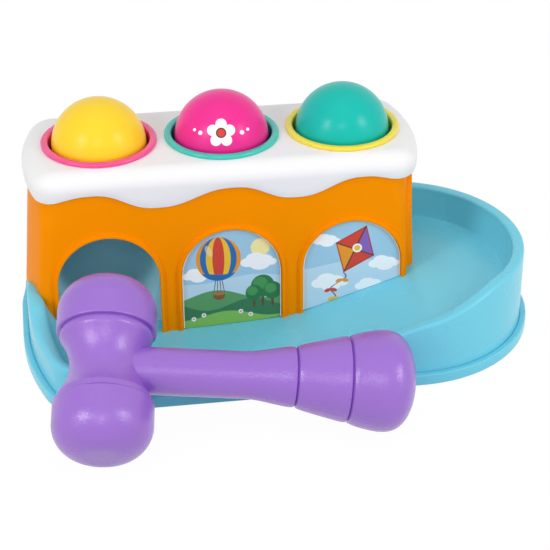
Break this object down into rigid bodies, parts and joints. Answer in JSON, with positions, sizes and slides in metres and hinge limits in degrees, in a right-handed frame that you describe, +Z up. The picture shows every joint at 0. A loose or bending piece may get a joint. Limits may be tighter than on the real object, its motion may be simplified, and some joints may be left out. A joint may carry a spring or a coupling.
{
  "type": "pound and roll ball toy",
  "caption": "Toddler's pounding toy: balls held in rings on an icing-shaped cover are hammered into an arched house and roll out round a walled ramp to a tray.",
  "frame": {"origin": "on the floor, straight below the centre of the middle ring", "axes": "+X to the right along the row of balls, +Y to the back, +Z up"},
  "size_m": [0.2753, 0.2077, 0.1254],
  "materials": {
    "base_blue": "satin-gloss moulded plastic",
    "house_orange": "satin-gloss moulded plastic",
    "icing_white": "satin-gloss moulded plastic",
    "label_middle": "printed film label",
    "label_right": "printed film label",
    "ring_pink": "gloss moulded plastic",
    "ring_teal": "gloss moulded plastic",
    "ring_yellow": "gloss moulded plastic",
    "collar_grey": "soft moulded elastomer",
    "ball_yellow": "gloss moulded plastic",
    "ball_magenta": "gloss moulded plastic with a printed motif",
    "ball_teal": "gloss moulded plastic",
    "hammer_purple": "finely stippled moulded plastic",
    "screw_steel": "zinc-plated steel"
  },
  "bodies": {
    "tower": {"base_tray": "base_blue", "ball_chute": "base_blue", "house_shell": "house_orange", "icing_cover": "icing_white", "label_middle": "label_middle", "label_right": "label_right", "ring_left": "ring_pink", "ring_middle": "ring_teal", "ring_right": "ring_yellow", "collar_left": "collar_grey", "collar_middle": "collar_grey", "collar_right": "collar_grey", "base_screw_1": "screw_steel", "base_screw_2": "screw_steel", "base_screw_3": "screw_steel", "base_screw_4": "screw_steel", "base_screw_5": "screw_steel", "chute_screw_1": "screw_steel", "chute_screw_2": "screw_steel", "cover_screw_1": "screw_steel", "cover_screw_2": "screw_steel", "cover_screw_3": "screw_steel", "cover_screw_4": "screw_steel"},
    "ball_left": {"ball_left_upper": "ball_yellow", "ball_left_lower": "ball_yellow"},
    "ball_middle": {"ball_middle_upper": "ball_magenta", "ball_middle_lower": "ball_magenta"},
    "ball_right": {"ball_right_upper": "ball_teal", "ball_right_lower": "ball_teal"},
    "hammer": {"hammer_half_upper": "hammer_purple", "hammer_half_lower": "hammer_purple"}
  },
  "joints": [
    {"name": "ball_left_knock", "type": "slide", "parent": "tower", "child": "ball_left", "axis": [0, 0, 1], "range_m": [-0.065, 0.06], "deforming": ["collar_left"]},
    {"name": "ball_middle_knock", "type": "slide", "parent": "tower", "child": "ball_middle", "axis": [0, 0, 1], "range_m": [-0.035, 0.06], "deforming": ["collar_middle"]},
    {"name": "ball_right_knock", "type": "slide", "parent": "tower", "child": "ball_right", "axis": [0, 0, 1], "range_m": [-0.0395, 0.06], "deforming": ["collar_right"]},
    {"name": "hammer_lift", "type": "slide", "parent": "tower", "child": "hammer", "axis": [0, 0, 1], "range_m": [0, 0.15]}
  ]
}
